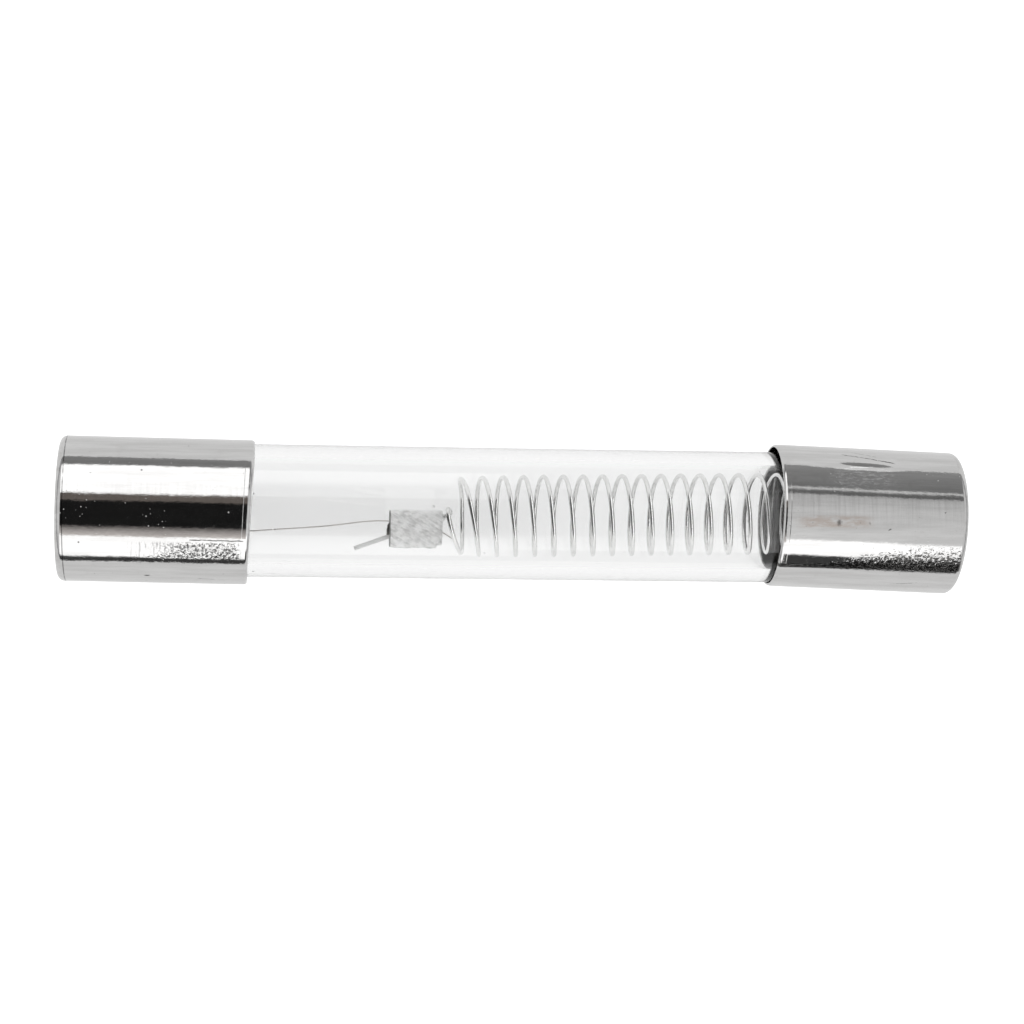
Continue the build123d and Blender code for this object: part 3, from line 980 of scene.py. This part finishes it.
# ------------------------------------------------------------------ studio
# Soft boxes over a dark ceiling, as the plating reflects them, in degrees about X with 0
# straight up and + towards +Y: from, to, colour at from, colour at to.
WIRE_SIDE_BANDS = [
    (-180, -95, 0.9, 0.9),
    (-95, -80, 0.05, 0.06),
    (-80, -43, 1.75, 1.75),
    (-43, -26, (0.85, 0.80, 0.77), (0.13, 0.12, 0.115)),
    (-26, 13.5, 0.012, 0.012),
    (13.5, 25, (0.185, 0.160, 0.145), (0.19, 0.165, 0.15)),
    (25, 74, 1.75, 1.75),
    (74, 93, 0.27, 0.30),
    (93, 180, 0.9, 0.9),
]
SPRING_SIDE_BANDS = [
    (-180, -90, 0.9, 0.9),
    (-90, -65, 0.055, 0.065),
    (-65, -38, 1.75, 1.75),
    (-38, 8, 0.95, 0.80),
    (8, 37, 0.86, 0.62),
    (37, 45, 0.17, 0.22),
    (45, 49, 0.80, 0.85),
    (49, 94, 0.24, 0.36),
    (94, 180, 0.9, 0.9),
]
BAND_SOFTNESS = 0.6     # degrees of blend on each side of a band's edge
# What the wires in the glass reflect: a dark card on the wire side and a strip light on the
# spring side. Columns: x of the direction, grey.
INNER_STOPS = [
    (-1.0, 0.25), (-0.93, 0.04), (-0.02, 0.03), (0.10, 0.10),
    (0.22, 1.9), (0.62, 2.1), (0.74, 0.45), (1.0, 0.35),
]


def band_stops(bands):
    stops = []
    for start, stop, first, last in bands:
        stops += [((start + BAND_SOFTNESS + 180) / 360, first),
                  ((stop - BAND_SOFTNESS + 180) / 360, last)]
    return stops


def studio():
    world = bpy.data.worlds.new("studio")
    bpy.context.scene.world = world
    world.use_nodes = True
    nodes = Nodes(world.node_tree)
    out = nodes.add("ShaderNodeOutputWorld")
    path = nodes.add("ShaderNodeLightPath")
    x, y, z = nodes.split(nodes.signal("ShaderNodeTexCoord", output="Generated"))
    angle = nodes.math("ARCTAN2", y, z)
    place = angle.times_plus(0.5 / math.pi, 0.5)
    wire_side = nodes.ramp(place, band_stops(WIRE_SIDE_BANDS))
    spring_side = nodes.ramp(place, band_stops(SPRING_SIDE_BANDS))
    bands = nodes.mix(x.step(0.075, 0.115), wire_side, spring_side)
    # both ends of the room brighten upwards
    ends = nodes.mix(z.step(-0.05, 0.55), (0.34, 0.34, 0.35), 0.86)
    bands = nodes.mix(x.step(0.40, 0.50), bands, ends)
    bands = nodes.mix(x.step(-0.44, -0.36), ends, bands)
    lengthwise = nodes.ramp(x.times_plus(0.5, 0.5), [((at + 1) / 2, c) for at, c in INNER_STOPS])
    inner = nodes.mix(abs(angle + 0.08).step(0.85, 1.25), lengthwise, 1.05)
    inside, glossy, scattered = (
        nodes.math("MINIMUM", nodes.output(path, kind + " Depth"), 1.0)
        for kind in ("Transmission", "Glossy", "Diffuse"))
    # plain white where nothing has reflected it, and brighter for matte surfaces
    seen = nodes.mix(glossy, 1.0, nodes.mix(inside, bands, inner))
    seen = nodes.mix(scattered, seen, 1.32)
    back = nodes.signal("ShaderNodeBackground", {"Color": seen, "Strength": 1.0})
    nodes.fill(out, {"Surface": back})


studio()

# ------------------------------------------------------------------ camera
# Above the wire side, looking down and slightly towards the spring side.
LENS, SENSOR_WIDTH = 87.830859, 36.0
CAMERA_DISTANCE = 111.66
CAMERA_YAW = math.radians(5.63)      # tilt of the view towards +X
CAMERA_ROLL = math.radians(0.758)
CAMERA_TARGET_X = -0.045
CAMERA_LIFT = 0.083                  # shift along the camera's own up


def add_camera():
    level = Vector((math.cos(CAMERA_YAW), 0, math.sin(CAMERA_YAW)))
    north = Vector((0, 1, 0))
    forward = Vector((math.sin(CAMERA_YAW), 0, -math.cos(CAMERA_YAW)))
    right = level * math.cos(CAMERA_ROLL) + north * math.sin(CAMERA_ROLL)
    up = north * math.cos(CAMERA_ROLL) - level * math.sin(CAMERA_ROLL)
    target = Vector((CAMERA_TARGET_X, 0, 0))
    pose = Matrix((right, up, -forward)).transposed().to_4x4()
    pose.translation = (target - forward * CAMERA_DISTANCE + up * CAMERA_LIFT) * MM
    data = bpy.data.cameras.new("camera")
    data.sensor_width = SENSOR_WIDTH
    data.lens = LENS
    data.clip_start, data.clip_end = 0.001, 10.0     # metres
    camera = bpy.data.objects.new("camera", data)
    bpy.context.scene.collection.objects.link(camera)
    camera.matrix_world = pose
    bpy.context.scene.camera = camera


add_camera()
bpy.context.scene.view_settings.view_transform = "Standard"
bpy.context.scene.view_settings.look = "None"
